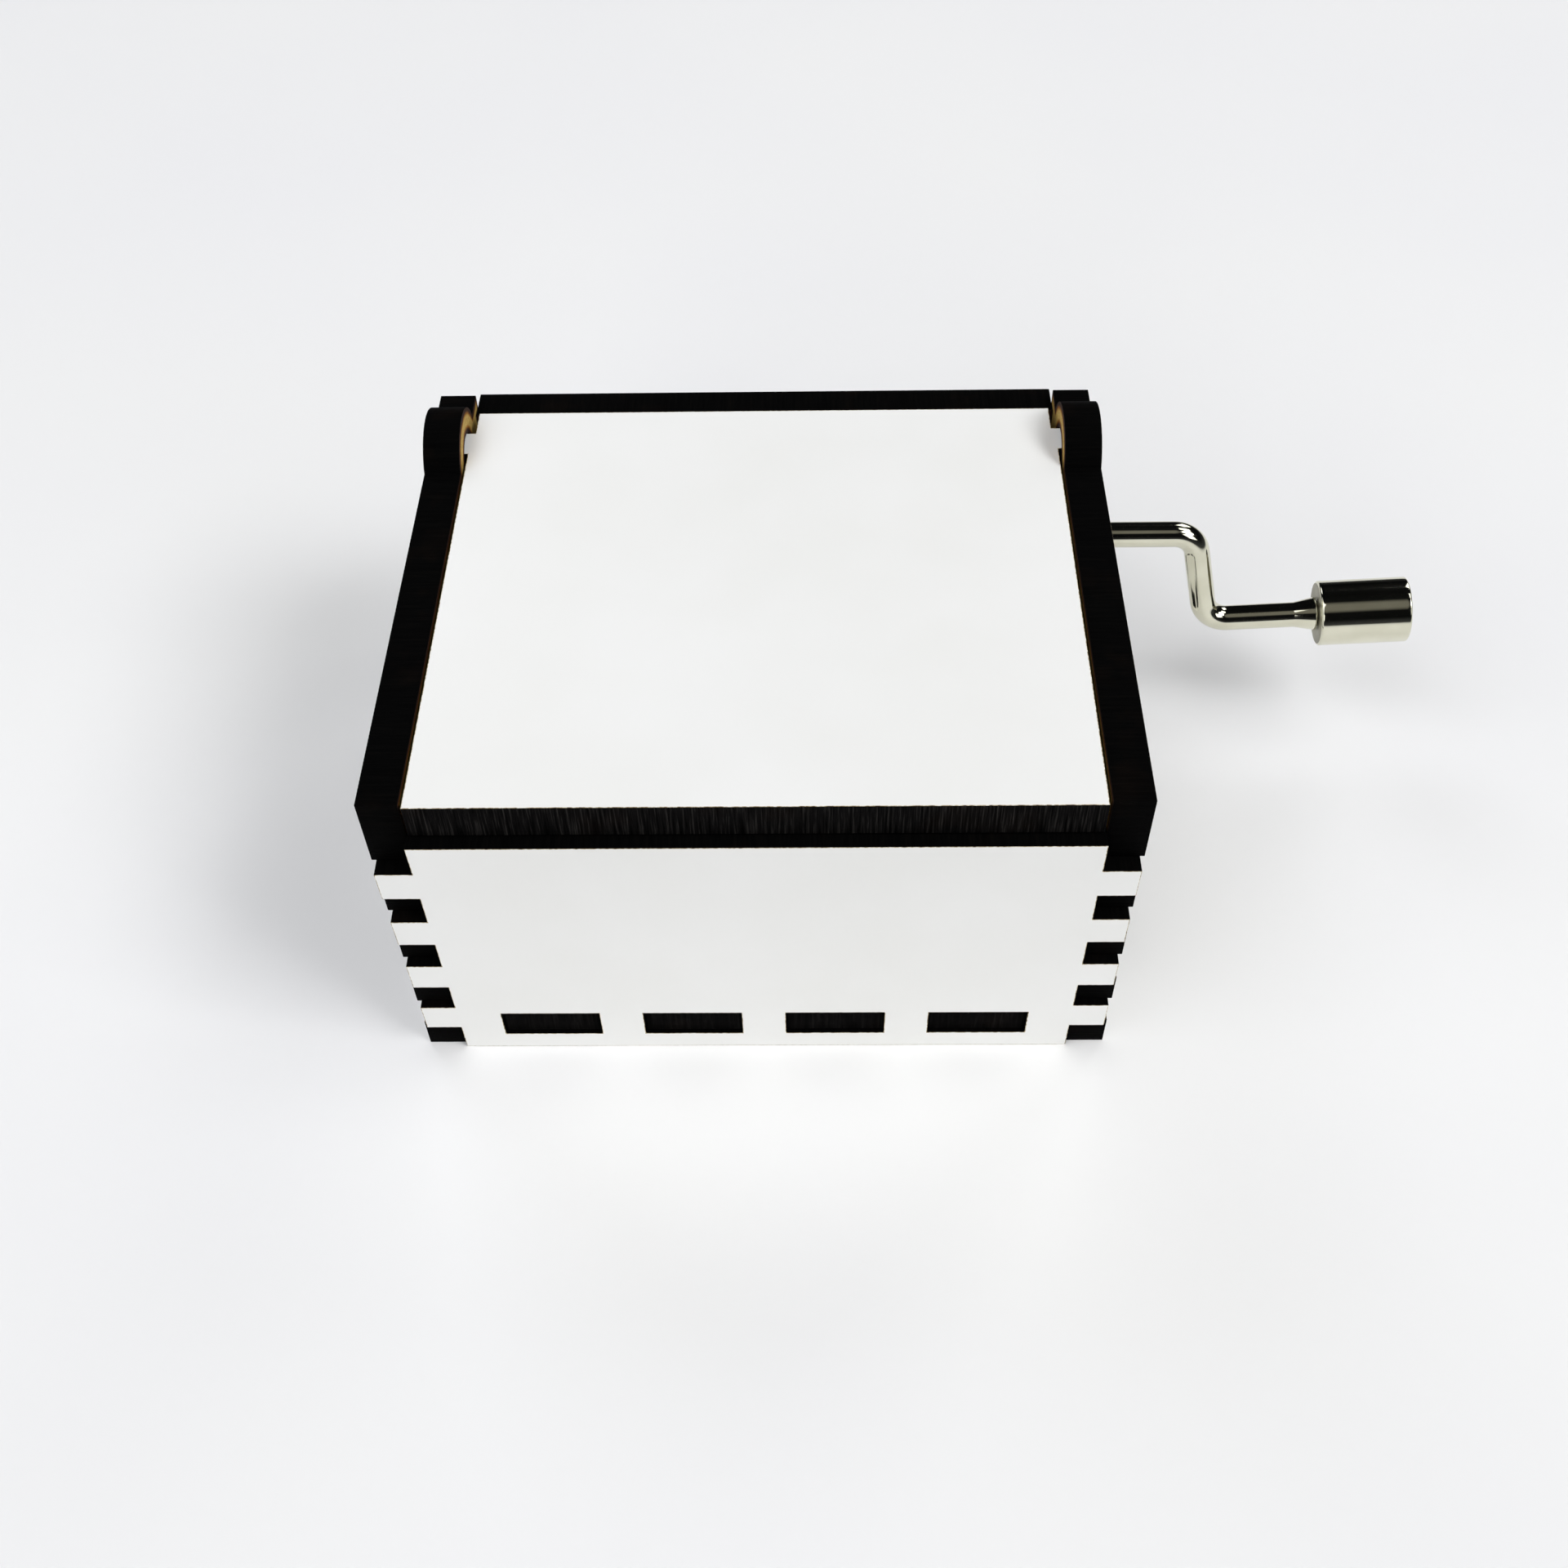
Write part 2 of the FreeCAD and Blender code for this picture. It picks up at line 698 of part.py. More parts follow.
stakes = plate_stakes()
pieces = {
    "left_side_panel": side_panel(-1),
    "right_side_panel": side_panel(1),
    "front_panel": end_panel(-1, front_height),
    "back_panel": end_panel(1, back_height),
    "bottom_panel": bottom_panel(),
    "lid": lid(),
    "movement_base": movement_base(),
    "base_screws": base_screws(),
    "comb": comb(),
    "comb_leads": comb_leads(),
    "comb_screws": comb_screws(),
    "cylinder_drum": cylinder_drum(),
    "drum_front_cap": drum_cap(drum_front_y, -1, cap_boss_length),
    "drum_rear_cap": drum_cap(drum_rear_y, 1, 0),
    "cylinder_arbor": cylinder_arbor(),
    "worm_wheel": worm_wheel(),
    "front_bearing_plate": bearing_plate(stakes["front"]),
    "rear_bearing_plate": bearing_plate(stakes["rear"]),
    "left_worm_post": worm_post(stakes["left"]),
    "right_worm_post": worm_post(stakes["right"]),
    "left_worm_bush": worm_bush(-1),
    "right_worm_bush": worm_bush(1),
    "worm_shaft": worm_shaft(),
    "crank_wire": crank_wire(),
    "crank_knob": crank_knob(),
}

os.makedirs("parts", exist_ok=True)
whole = Part.makeCompound(list(pieces.values())).BoundBox
shift = FreeCAD.Vector(-(whole.XMin + whole.XMax) / 2, 0, 0)
for name, shape in pieces.items():
    shape.translate(shift)
    shape.exportStep(f"parts/{name}.step")
    print(f"{name}: {len(shape.Solids)} solid, {shape.Volume:.1f} mm3, valid {shape.isValid()}")

print(f"case {case_width:.2f} x {2 * outer_y:.2f} x {lid_top:.2f}, ear top {hinge_z + ear_radius:.2f}")
print(f"movement base {base_length:.2f} x {base_depth:.2f}")
print(f"case middle x {shift.x:.3f}")
print(f"lid hinge y {hinge_y:.3f}, z {hinge_z:.3f}")
print(f"crank axis y {crank_y:.3f}, z {crank_z:.3f}")
print(f"cylinder axis x {cylinder_x + shift.x:.3f}, z {arbor_z:.3f}")
print(f"knob start {knob_start + shift}, axis {knob_axis}")
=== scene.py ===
# %% [markdown]
# # A hand-crank music box
# The box is six laser-cut boards locked together by fingers, with a small cylinder movement inside and a
# bent wire crank at its right. The frame that is loaded here holds every piece at its real size and place,
# so this lesson only gives the pieces their finish: softened edges, burnt cuts, coats and metals.

# %% Load the frame
import json
import math

import bmesh
import bpy
from mathutils import Matrix, Vector


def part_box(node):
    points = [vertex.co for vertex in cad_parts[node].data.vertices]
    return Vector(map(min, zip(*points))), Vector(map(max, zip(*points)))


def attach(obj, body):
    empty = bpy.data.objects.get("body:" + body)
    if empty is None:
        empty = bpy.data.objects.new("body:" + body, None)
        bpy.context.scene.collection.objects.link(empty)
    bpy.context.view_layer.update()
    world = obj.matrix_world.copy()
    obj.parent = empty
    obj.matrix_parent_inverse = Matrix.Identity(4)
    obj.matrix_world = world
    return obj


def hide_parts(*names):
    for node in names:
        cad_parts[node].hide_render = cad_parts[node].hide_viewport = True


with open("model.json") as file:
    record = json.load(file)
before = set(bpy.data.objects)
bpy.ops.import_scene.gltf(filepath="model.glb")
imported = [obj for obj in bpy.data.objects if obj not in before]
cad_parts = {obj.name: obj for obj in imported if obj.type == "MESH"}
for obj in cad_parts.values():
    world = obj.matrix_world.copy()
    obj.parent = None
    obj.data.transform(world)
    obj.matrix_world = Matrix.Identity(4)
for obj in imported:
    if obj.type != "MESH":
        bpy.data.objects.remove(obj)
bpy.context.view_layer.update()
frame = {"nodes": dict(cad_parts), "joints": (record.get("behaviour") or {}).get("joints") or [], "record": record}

MM = 0.001
behaviour = frame["record"]["behaviour"]
body_of = {node: body for body, nodes in behaviour["bodies"].items() for node in nodes}
joint_of = {joint["name"]: joint for joint in frame["joints"]}

# %% [markdown]
# ## The camera
# The photograph looks down at the front of the box from close by, so lines that are upright on the box
# lean together. A camera can be aimed by hand, but here its place and turn were worked out from the box's
# own corners. They are written as a place, a pitch, a yaw and a small roll.

# %% Camera
CAMERA_PLACE = Vector((-12.30, -114.89, 144.01)) * MM
CAMERA_PITCH = math.radians(-50.04)
CAMERA_YAW = math.radians(-1.56)
CAMERA_ROLL = math.radians(-1.53)
CAMERA_LENS = 40.07
CAMERA_NEAR = 10 * MM

forward = Vector((
    math.sin(CAMERA_YAW) * math.cos(CAMERA_PITCH),
    math.cos(CAMERA_YAW) * math.cos(CAMERA_PITCH),
    math.sin(CAMERA_PITCH),
))
level = Vector((math.cos(CAMERA_YAW), -math.sin(CAMERA_YAW), 0))
upright = level.cross(forward)
right = level * math.cos(CAMERA_ROLL) + upright * math.sin(CAMERA_ROLL)
top = upright * math.cos(CAMERA_ROLL) - level * math.sin(CAMERA_ROLL)

camera = bpy.data.objects.new("camera", bpy.data.cameras.new("camera"))
camera.data.lens = CAMERA_LENS
camera.data.clip_start = CAMERA_NEAR
turn = Matrix((right, top, -forward)).transposed().to_4x4()
camera.matrix_world = Matrix.Translation(CAMERA_PLACE) @ turn
bpy.context.scene.collection.objects.link(camera)
bpy.context.scene.camera = camera
print("camera", [round(value, 3) for value in camera.location])

# %% [markdown]
# ## Helpers for finishes
# Every finish below is a small tree of nodes. One function adds a node, sets its options and fills or links
# its inputs, so that a finish reads from its pattern down to its shader. Colours are written as sRGB hex,
# the way a paint chart gives them, and turned to linear light by one function.

# %% Colour and node helpers
def linear(code):
    """sRGB hex colour as linear red, green, blue and alpha."""
    channels = [int(code[start:start + 2], 16) / 255 for start in (1, 3, 5)]
    light = [c / 12.92 if c <= 0.04045 else ((c + 0.055) / 1.055) ** 2.4 for c in channels]
    return (*light, 1.0)


def add_node(tree, kind, inputs=None, stops=None, **settings):
    """Adds one node: settings are its options, inputs its values or links, stops a ramp's colours."""
    node = tree.nodes.new(kind)
    for name, value in settings.items():
        setattr(node, name, value)
    for name, value in (inputs or {}).items():
        if isinstance(value, bpy.types.NodeSocket):
            tree.links.new(value, node.inputs[name])
        else:
            node.inputs[name].default_value = value
    for index, (place, code) in enumerate(stops or []):
        ramp = node.color_ramp
        element = ramp.elements[index] if index < 2 else ramp.elements.new(place)
        element.position = place
        element.color = linear(code)
    return node


def start_material(name):
    """New material with an empty tree, and its Object coordinates in metres."""
    material = bpy.data.materials.new(name)
    material.use_nodes = True
    material.node_tree.nodes.clear()
    place = add_node(material.node_tree, "ShaderNodeTexCoord").outputs["Object"]
    return material, material.node_tree, place


def close_material(tree, **sockets):
    """Principled shader and output; a socket is named with _ in place of a space."""
    inputs = {name.replace("_", " "): value for name, value in sockets.items()}
    shader = add_node(tree, "ShaderNodeBsdfPrincipled", inputs)
    add_node(tree, "ShaderNodeOutputMaterial", {"Surface": shader.outputs["BSDF"]})


print("white is", linear("#FFFFFF")[:3])

# %% [markdown]
# ## White melamine coat
# The boards are fibreboard with a thin white melamine coat on their outer face. The coat is pressed on, so
# it is smooth and satin, with a very faint orange peel. Close to a cut the laser has scorched it to cream
# and amber. How close a point is to a cut comes from the mesh: an attribute named singe is 1 on the cut and
# falls to 0 a little way in. Noise makes that border ragged, as heat does.

# %% White melamine coat
COAT_TONE = 14 * MM
COAT_PEEL = 0.55 * MM
PEEL_DEPTH = 0.02 * MM
SCORCH_GRAIN = 0.35 * MM
GRAIN_SHARE = 0.6
SINGE_SHARE = 0.6


def white_coat():
    material, tree, place = start_material("white_melamine_coat")
    singe = add_node(tree, "ShaderNodeAttribute", attribute_name="singe")
    grain = add_node(tree, "ShaderNodeTexNoise", {"Vector": place, "Scale": 1 / SCORCH_GRAIN, "Detail": 3.0})
    heat = add_node(tree, "ShaderNodeMath", {0: singe.outputs["Fac"], 1: SINGE_SHARE}, operation="MULTIPLY")
    ragged = add_node(tree, "ShaderNodeMath", {
        0: grain.outputs["Fac"], 1: GRAIN_SHARE, 2: heat.outputs["Value"],
    }, operation="MULTIPLY_ADD")
    scorch = add_node(tree, "ShaderNodeValToRGB", {"Fac": ragged.outputs["Value"]}, stops=[
        (0.62, "#F6F6F4"), (1.0, "#4E3B20"), (0.80, "#EFEAD9"), (0.92, "#A8946A"),
    ])
    tone = add_node(tree, "ShaderNodeTexNoise", {"Vector": place, "Scale": 1 / COAT_TONE, "Detail": 2.0})
    shade = add_node(tree, "ShaderNodeValToRGB", {"Fac": tone.outputs["Fac"]}, stops=[
        (0.3, "#FCFCFB"), (0.7, "#FFFFFF"),
    ])
    colour = add_node(tree, "ShaderNodeMix", {
        0: 1.0, 6: scorch.outputs["Color"], 7: shade.outputs["Color"],
    }, data_type="RGBA", blend_type="MULTIPLY")
    gloss = add_node(tree, "ShaderNodeMapRange", {
        "Value": tone.outputs["Fac"], "To Min": 0.36, "To Max": 0.46,
    })
    peel = add_node(tree, "ShaderNodeTexNoise", {"Vector": place, "Scale": 1 / COAT_PEEL, "Detail": 1.0})
    bump = add_node(tree, "ShaderNodeBump", {
        "Height": peel.outputs["Fac"], "Strength": 0.06, "Distance": PEEL_DEPTH,
    })
    close_material(
        tree, Base_Color=colour.outputs[2], Roughness=gloss.outputs["Result"], Normal=bump.outputs["Normal"],
    )
    return material


coat = white_coat()
print("made", coat.name)

# %% [markdown]
# ## Raw fibreboard
# The inner faces have no coat. They show pressed wood fibre: a warm tan with short paler and darker flecks,
# quite matt. Heat travels further into the bare board than into the coat, so the same singe attribute gives
# a wider brown border here.

# %% Raw fibreboard
FIBRE_WIDTH = 0.3 * MM
FIBRE_DEPTH = 0.04 * MM
FIBRE_CLOUD = 4 * MM
CLOUD_SHARE = 0.5


def raw_fibreboard():
    material, tree, place = start_material("raw_fibreboard")
    fibre = add_node(tree, "ShaderNodeTexNoise", {
        "Vector": place, "Scale": 1 / FIBRE_WIDTH, "Detail": 5.0, "Roughness": 0.7, "Distortion": 1.5,
    })
    cloud = add_node(tree, "ShaderNodeTexNoise", {"Vector": place, "Scale": 1 / FIBRE_CLOUD, "Detail": 2.0})
    flecks = add_node(tree, "ShaderNodeValToRGB", {"Fac": fibre.outputs["Fac"]}, stops=[
        (0.28, "#8B6E37"), (0.74, "#D8BC72"), (0.5, "#B8984F"),
    ])
    singe = add_node(tree, "ShaderNodeAttribute", attribute_name="singe")
    ragged = add_node(tree, "ShaderNodeMath", {
        0: cloud.outputs["Fac"], 1: CLOUD_SHARE, 2: singe.outputs["Fac"],
    }, operation="MULTIPLY_ADD")
    scorch = add_node(tree, "ShaderNodeValToRGB", {"Fac": ragged.outputs["Value"]}, stops=[
        (0.34, "#FFFFFF"), (1.0, "#3A2411"), (0.6, "#C6984A"), (0.85, "#5E3D1A"),
    ])
    colour = add_node(tree, "ShaderNodeMix", {
        0: 1.0, 6: flecks.outputs["Color"], 7: scorch.outputs["Color"],
    }, data_type="RGBA", blend_type="MULTIPLY")
    matt = add_node(tree, "ShaderNodeMapRange", {
        "Value": fibre.outputs["Fac"], "To Min": 0.72, "To Max": 0.92,
    })
    bump = add_node(tree, "ShaderNodeBump", {
        "Height": fibre.outputs["Fac"], "Strength": 0.35, "Distance": FIBRE_DEPTH,
    })
    close_material(
        tree, Base_Color=colour.outputs[2], Roughness=matt.outputs["Result"], Normal=bump.outputs["Normal"],
        Specular_IOR_Level=0.3,
    )
    return material


bare_board = raw_fibreboard()
print("made", bare_board.name)

# %% [markdown]
# ## Charred cut edges
# A laser burns its way through the board and leaves an edge that is nearly black. The beam passes straight
# through, so the char is combed into fine furrows along the board's thickness. The thickness runs along
# another axis on each pair of boards, so the finish is made once for each axis, with its noise stretched that
# way. The lid has a finish of its own: its edges carry soft streaks of grey ash.

# %% Charred edges
FURROW_LENGTH = 5 * MM
FURROW_DEPTH = 0.08 * MM
CHAR_PATCH = 5 * MM
CHARS = {
    "charred_fibreboard_x": ("x", 0.24, "#030303", "#070605"),
    "charred_fibreboard_y": ("y", 0.24, "#030303", "#070605"),
    "charred_fibreboard_z": ("z", 0.24, "#080707", "#171615"),
    "ashy_fibreboard_z": ("z", 0.19, "#0F0E0E", "#343230"),
}


def charred_edge(name, axis, width, furrow_tone, crest_tone):
    material, tree, place = start_material(name)
    squeeze = [1.0, 1.0, 1.0]
    squeeze["xyz".index(axis)] = width * MM / FURROW_LENGTH
    along = add_node(tree, "ShaderNodeMapping", {"Vector": place, "Scale": squeeze})
    furrow = add_node(tree, "ShaderNodeTexNoise", {
        "Vector": along.outputs["Vector"], "Scale": 1 / (width * MM), "Detail": 3.0, "Roughness": 0.6,
    })
    patch = add_node(tree, "ShaderNodeTexNoise", {"Vector": place, "Scale": 1 / CHAR_PATCH, "Detail": 3.0})
    soot = add_node(tree, "ShaderNodeValToRGB", {"Fac": furrow.outputs["Fac"]}, stops=[
        (0.36, "#010101"), (0.76, crest_tone), (0.54, furrow_tone),
    ])
    brown = add_node(tree, "ShaderNodeValToRGB", {"Fac": patch.outputs["Fac"]}, stops=[
        (0.55, "#000000"), (0.78, "#080402"),
    ])
    colour = add_node(tree, "ShaderNodeMix", {
        0: 1.0, 6: soot.outputs["Color"], 7: brown.outputs["Color"],
    }, data_type="RGBA", blend_type="ADD")
    matt = add_node(tree, "ShaderNodeMapRange", {
        "Value": furrow.outputs["Fac"], "To Min": 0.75, "To Max": 0.95,
    })
    bump = add_node(tree, "ShaderNodeBump", {
        "Height": furrow.outputs["Fac"], "Strength": 0.6, "Distance": FURROW_DEPTH,
    })
    close_material(
        tree, Base_Color=colour.outputs[2], Roughness=matt.outputs["Result"], Normal=bump.outputs["Normal"],
        Specular_IOR_Level=0.03,
    )
    return material


char = {name: charred_edge(name, *values) for name, values in CHARS.items()}
print("made", list(char))

# %% [markdown]
# ## From a CAD solid to a finished mesh
# The frame's meshes are loose triangles and stay as they are. A finished piece starts from a copy: its
# doubles are merged and its flat triangles dissolved into whole faces, so that its real edges can be found
# by their angle and softened with a bevel. The piece then rides on its node's body and replaces the node.

# %% Piece helpers
WELD = 0.001 * MM
FLAT = math.radians(0.5)
CREASE = math.radians(32)
ARRIS_STEPS = 2


def merged_copy(node):
    shape = bmesh.new()
    shape.from_mesh(frame["nodes"][node].data)
    bmesh.ops.remove_doubles(shape, verts=shape.verts, dist=WELD)
    bmesh.ops.dissolve_limit(shape, angle_limit=FLAT, verts=shape.verts, edges=shape.edges)
    return shape


def soften(shape, offset):
    """Rounds every edge that is sharper than the crease angle."""
    sharp = [edge for edge in shape.edges if edge.is_manifold and edge.calc_face_angle() > CREASE]
    bmesh.ops.bevel(
        shape, geom=sharp, offset=offset, offset_type="OFFSET", affect="EDGES", segments=ARRIS_STEPS,
        profile=0.5, material=-1, clamp_overlap=True, loop_slide=True,
    )


def publish(shape, name, node, materials):
    """Turns a bmesh into the piece that stands for a CAD node."""
    for face in shape.faces:
        face.smooth = True
    for edge in shape.edges:
        edge.smooth = not edge.is_manifold or edge.calc_face_angle() < CREASE
    mesh = bpy.data.meshes.new(name)
    shape.to_mesh(mesh)
    shape.free()
    for material in materials:
        mesh.materials.append(material)
    piece = bpy.data.objects.new(name, mesh)
    bpy.context.scene.collection.objects.link(piece)
    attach(piece, body_of[node])
    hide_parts(node)
    return piece


print("crease angle", round(math.degrees(CREASE)), "degrees")

# %% [markdown]
# ## The six boards
# Each board has a coated face, a bare face and cut edges all round. After the bevel, a face belongs to one
# of them by the way it points. An inset then draws a thin ring inside each broad face, and the singe
# attribute is 1 on the ring's outside and 0 on its inside, which is what the scorch in the finishes follows.

# %% Boards
BOARD_ARRIS = 0.06 * MM
COAT_RING = 0.1 * MM
BARE_RING = 0.85 * MM
BROAD = 0.99
SLANT = 0.6

BOARDS = {
    "left_side_panel": ((-1, 0, 0), "charred_fibreboard_x"),
    "right_side_panel": ((1, 0, 0), "charred_fibreboard_x"),
    "front_panel": ((0, -1, 0), "charred_fibreboard_y"),
    "back_panel": ((0, 1, 0), "charred_fibreboard_y"),
    "bottom_panel": ((0, 0, -1), "charred_fibreboard_z"),
    "lid": ((0, 0, 1), "ashy_fibreboard_z"),
}
COATED, BARE, CUT = range(3)


def board(node, outward, edge):
    shape = merged_copy(node)
    soften(shape, BOARD_ARRIS)
    shape.normal_update()
    broad = {COATED: [], BARE: []}
    for face in shape.faces:
        facing = face.normal.dot(Vector(outward))
        face.material_index = CUT if abs(facing) < SLANT else COATED if facing > 0 else BARE
        if abs(facing) > BROAD:
            broad[face.material_index].append(face)
    singe = shape.verts.layers.float.new("singe")
    for vert in shape.verts:
        vert[singe] = 1.0
    for side, ring in ((COATED, COAT_RING), (BARE, BARE_RING)):
        bmesh.ops.inset_region(shape, faces=broad[side], thickness=ring)
        for face in broad[side]:
            for vert in face.verts:
                vert[singe] = 0.0
    return publish(shape, f"{node}_board", node, [coat, bare_board, char[edge]])


for node, (outward, edge) in BOARDS.items():
    piece = board(node, outward, edge)
    print(piece.name, len(piece.data.polygons), "faces")

# %% [markdown]
# ## Nickel plate
# The crank is steel wire with polished nickel plate. Nickel is a slightly warm silver. Plating follows the
# wire it covers, so the shine is even, with only a faint waviness and hairline wear. The end faces of the knob
# get a darker, rougher nickel, so the same function makes a second finish.

# %% Nickel plate
PLATE_WAVE = 3 * MM
PLATE_DEPTH = 0.05 * MM
HAIRLINE = 0.12 * MM
HAIRLINE_STRETCH = 20


def nickel_plate(name, dark, pale, rough):
    material, tree, place = start_material(name)
    wave = add_node(tree, "ShaderNodeTexNoise", {"Vector": place, "Scale": 1 / PLATE_WAVE, "Detail": 2.0})
    along = add_node(tree, "ShaderNodeMapping", {"Vector": place, "Scale": (1 / HAIRLINE_STRETCH, 1.0, 1.0)})
    wear = add_node(tree, "ShaderNodeTexNoise", {
        "Vector": along.outputs["Vector"], "Scale": 1 / HAIRLINE, "Detail": 3.0,
    })
    colour = add_node(tree, "ShaderNodeValToRGB", {"Fac": wave.outputs["Fac"]}, stops=[
        (0.3, dark), (0.7, pale),
    ])
    gloss = add_node(tree, "ShaderNodeMapRange", {
        "Value": wear.outputs["Fac"], "To Min": rough[0], "To Max": rough[1],
    })
    bump = add_node(tree, "ShaderNodeBump", {
        "Height": wave.outputs["Fac"], "Strength": 0.03, "Distance": PLATE_DEPTH,
    })
    close_material(
        tree, Base_Color=colour.outputs["Color"], Roughness=gloss.outputs["Result"],
        Normal=bump.outputs["Normal"], Metallic=1.0,
    )
    return material


nickel = nickel_plate("polished_nickel_plate", "#D5D3BF", "#E1DFCC", (0.06, 0.11))
# A darker, rougher copy of the nickel for the knob's end faces.
darker_end_nickel = nickel_plate("darker_end_nickel_plate", "#8B8878", "#A19E8D", (0.34, 0.48))
print("made", nickel.name, "and", darker_end_nickel.name)

# %% [markdown]
# ## The crank wire
# The wire is one round rod with two bends, and its arm hangs down and leans a little outwards. A curve with a
# round bevel would do, but here a ring of edges is drawn along the path: extruded on the straight runs and
# spun round each bend's own centre, which keeps the section round. A short step at each end of a run holds
# its shading straight. The ring then swells into the collar and closes on the riveted head behind the knob.

# %% Crank wire
WIRE_RADIUS = 1.3 * MM
BEND_RADIUS = 2.6 * MM
ARM_SPLAY = math.radians(12.9)
KNOB_STANDOFF = 11.4 * MM
KNOB_LENGTH = 9 * MM
COLLAR_LENGTH = 2.2 * MM
COLLAR_FLARE = 0.45 * MM
KNOB_END_PLAY = 0.15 * MM
RIVET_RADIUS = 1.9 * MM
RIVET_THICKNESS = 0.8 * MM
RIVET_INSET = 0.25 * MM
WIRE_SIDES = 48
BEND_STEPS = 14
ROD_ARRIS = 0.12 * MM
HOLD = 0.2 * MM

crank_axis = Vector(joint_of["crank_turn"]["pos_m"])
knob_start = Vector(joint_of["knob_spin"]["pos_m"])
knob_axis = Vector(joint_of["knob_spin"]["axis"]).normalized()


def pushed(shape, ring, offset):
    """Extrudes a ring of edges by an offset and returns the new ring."""
    grown = bmesh.ops.extrude_edge_only(shape, edges=ring)["geom"]
    verts = [item for item in grown if isinstance(item, bmesh.types.BMVert)]
    bmesh.ops.translate(shape, verts=verts, vec=offset)
    fresh = set(verts)
    return [
        item for item in grown
        if isinstance(item, bmesh.types.BMEdge) and set(item.verts) <= fresh
    ]


def straight(shape, ring, offset):
    """Extrudes a ring along a straight run, with a short step at both ends."""
    step = offset.normalized() * HOLD
    ring = pushed(shape, ring, step)
    ring = pushed(shape, ring, offset - step * 2)
    return pushed(shape, ring, step)


def ring_verts(ring):
    return list({vert for edge in ring for vert in edge.verts})


def resize(ring, centre, axis, radius):
    """Sets a ring to a radius about an axis."""
    for vert in ring_verts(ring):
        arm = vert.co - centre
        along = axis * arm.dot(axis)
        vert.co = centre + along + (arm - along).normalized() * radius


def bent(shape, ring, corner, arriving, leaving):
    """Spins a ring round the bend at a corner."""
    angle = arriving.angle(leaving)
    inward = (leaving - arriving * math.cos(angle)).normalized()
    centre = corner - arriving * BEND_RADIUS * math.tan(angle / 2) + inward * BEND_RADIUS
    spun = bmesh.ops.spin(
        shape, geom=ring_verts(ring) + ring, cent=centre, axis=arriving.cross(leaving).normalized(),
        angle=angle, steps=BEND_STEPS, use_duplicate=False,
    )
    return [item for item in spun["geom_last"] if isinstance(item, bmesh.types.BMEdge)]


def crank_rod():
    outer = knob_start - knob_axis * KNOB_STANDOFF
    drop = math.hypot(outer.y - crank_axis.y, outer.z - crank_axis.z)
    corner = Vector((outer.x - drop * math.tan(ARM_SPLAY), crank_axis.y, crank_axis.z))
    start = Vector((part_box("crank_wire")[0].x, crank_axis.y, crank_axis.z))
    runs = [Vector((1, 0, 0)), (outer - corner).normalized(), knob_axis]
    setbacks = [BEND_RADIUS * math.tan(a.angle(b) / 2) for a, b in zip(runs, runs[1:])]
    shape = bmesh.new()
    facing = Vector((0, 0, 1)).rotation_difference(runs[0]).to_matrix().to_4x4()
    made = bmesh.ops.create_circle(
        shape, cap_ends=True, segments=WIRE_SIDES, radius=WIRE_RADIUS,
        matrix=Matrix.Translation(start) @ facing,
    )
    ring = list({edge for vert in made["verts"] for edge in vert.link_edges})
    ring = straight(shape, ring, runs[0] * ((corner - start).length - setbacks[0]))
    ring = bent(shape, ring, corner, runs[0], runs[1])
    ring = straight(shape, ring, runs[1] * ((outer - corner).length - sum(setbacks)))
    ring = bent(shape, ring, outer, runs[1], runs[2])
    collar_end = KNOB_STANDOFF - KNOB_END_PLAY
    ring = straight(shape, ring, runs[2] * (collar_end - COLLAR_LENGTH - setbacks[1]))
    rivet_start = KNOB_STANDOFF + KNOB_LENGTH - RIVET_INSET - RIVET_THICKNESS
    stops = [
        (collar_end, WIRE_RADIUS + COLLAR_FLARE),
        (collar_end, WIRE_RADIUS),
        (rivet_start, WIRE_RADIUS),
        (rivet_start, RIVET_RADIUS),
        (rivet_start + RIVET_THICKNESS, RIVET_RADIUS),
    ]
    at = collar_end - COLLAR_LENGTH
    for along, radius in stops:
        ring = pushed(shape, ring, runs[2] * (along - at))
        resize(ring, outer, runs[2], radius)
        at = along
    bmesh.ops.edgeloop_fill(shape, edges=ring)
    bmesh.ops.recalc_face_normals(shape, faces=shape.faces)
    soften(shape, ROD_ARRIS)
    return publish(shape, "crank_rod", "crank_wire", [nickel])


rod = crank_rod()
print(rod.name, len(rod.data.polygons), "faces")

# %% [markdown]
# ## The knob
# The knob is turned on a lathe, so half of its section is drawn once and spun a full turn. Its bore runs on
# the wire, its outer end has a recess for the riveted head, and a small bevel breaks every turned corner. The
# faces that look along the axis get the darker, rougher nickel.

# %% Knob
KNOB_RADIUS = 3.35 * MM
KNOB_CHAMFER = 0.15 * MM
KNOB_PLAY = 0.06 * MM
KNOB_SIDES = 96
KNOB_ARRIS = 0.05 * MM


def turned(shape, profile, sides):
    """Spins a closed half section of (along, radius) corners a full turn about Z."""
    verts = [shape.verts.new((radius, 0, along)) for along, radius in profile]
    edges = [shape.edges.new(pair) for pair in zip(verts, verts[1:] + verts[:1])]
    bmesh.ops.spin(
        shape, geom=verts + edges, cent=(0, 0, 0), axis=(0, 0, 1), angle=2 * math.pi,
        steps=sides, use_merge=True, use_duplicate=False,
    )
    bmesh.ops.remove_doubles(shape, verts=shape.verts, dist=WELD)
    bmesh.ops.recalc_face_normals(shape, faces=shape.faces)


